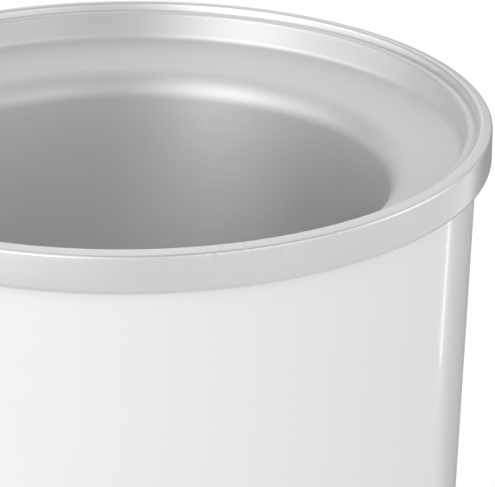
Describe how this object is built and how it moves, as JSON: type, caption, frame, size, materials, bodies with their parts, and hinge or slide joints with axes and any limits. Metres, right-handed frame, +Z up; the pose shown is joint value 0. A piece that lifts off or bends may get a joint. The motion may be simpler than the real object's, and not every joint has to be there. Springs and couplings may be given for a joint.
{
  "type": "ice cream maker",
  "caption": "Ice cream maker: an open double-walled freezer bowl with a rolled aluminium rim, seated on a lugged drive hub in a low motor base with a rocker switch.",
  "frame": {"origin": "centre of the plane the four feet stand on", "axes": "+Z up along the bowl's axis, -Y towards the switch, +X to the right seen from the switch side"},
  "size_m": [0.2118, 0.2118, 0.234],
  "materials": {
    "liner_aluminium": "satin, lightly brushed round the bowl",
    "rim_aluminium": "satin, fine circumferential brushing",
    "gloss_white": "gloss white moulded plastic",
    "white_plastic": "fine moulded grain",
    "grey_plastic": "fine moulded grain",
    "black_plastic": "fine moulded grain",
    "acetal": "smooth, slightly waxy",
    "grey_rubber": "matt",
    "black_rubber": "matt",
    "coolant_gel": "translucent gel",
    "steel": "ground",
    "zinc_steel": "zinc plated",
    "bronze": "sintered, oiled",
    "copper": "enamelled winding wire",
    "magnet": "matt ferrite"
  },
  "bodies": {
    "base": {"base_housing": "gloss_white", "bottom_cover": "white_plastic", "gearbox_case": "grey_plastic", "gearbox_lid": "grey_plastic", "idler_pin": "steel", "output_bush": "bronze", "shaft_seal": "black_rubber", "motor_can": "zinc_steel", "motor_plate": "zinc_steel", "stator_coil": "copper", "motor_bush_lower": "bronze", "motor_bush_upper": "bronze", "switch_body": "black_plastic", "rocker_pin": "steel", "cord_gland": "grey_rubber", "terminal_block": "acetal", "foot_1": "grey_rubber", "foot_2": "grey_rubber", "foot_3": "grey_rubber", "foot_4": "grey_rubber", "cover_screw_1": "zinc_steel", "cover_screw_2": "zinc_steel", "cover_screw_3": "zinc_steel", "cover_screw_4": "zinc_steel", "gearbox_screw_1": "zinc_steel", "gearbox_screw_2": "zinc_steel", "gearbox_screw_3": "zinc_steel", "motor_screw_1": "zinc_steel", "motor_screw_2": "zinc_steel"},
    "drive": {"drive_hub": "grey_plastic", "output_shaft": "steel", "output_gear": "acetal"},
    "freezer_bowl": {"bowl_liner": "liner_aluminium", "rim_band": "rim_aluminium", "rim_gasket": "grey_rubber", "bowl_shell": "gloss_white", "coolant_gel": "coolant_gel", "bowl_base_cap": "white_plastic", "filler_plug": "grey_rubber", "drive_socket": "acetal"},
    "idler": {"idler_gear": "acetal"},
    "rotor": {"motor_shaft": "steel", "rotor_magnet": "magnet", "motor_pinion": "bronze"},
    "rocker": {"switch_rocker": "black_plastic"}
  },
  "joints": [
    {"name": "bowl_spin", "type": "hinge", "parent": "base", "child": "drive", "pos_m": [0, 0, 0.08], "axis": [0, 0, 1], "continuous": true},
    {"name": "bowl_lift", "type": "slide", "parent": "drive", "child": "freezer_bowl", "axis": [0, 0, 1], "range_m": [0, 0.06]},
    {"name": "idler_spin", "type": "hinge", "parent": "base", "child": "idler", "pos_m": [-0.0375, 0, 0.06], "axis": [0, 0, 1], "continuous": true},
    {"name": "motor_spin", "type": "hinge", "parent": "base", "child": "rotor", "pos_m": [-0.01945, 0.02396, 0.03], "axis": [0, 0, 1], "continuous": true},
    {"name": "switch_rock", "type": "hinge", "parent": "base", "child": "rocker", "pos_m": [0, -0.1004, 0.05], "axis": [-1, 0, 0], "range_deg": [0, 22]}
  ],
  "couplings": [
    {"joint": "idler_spin", "follows": "bowl_spin", "ratio": -4},
    {"joint": "motor_spin", "follows": "bowl_spin", "ratio": 16}
  ]
}
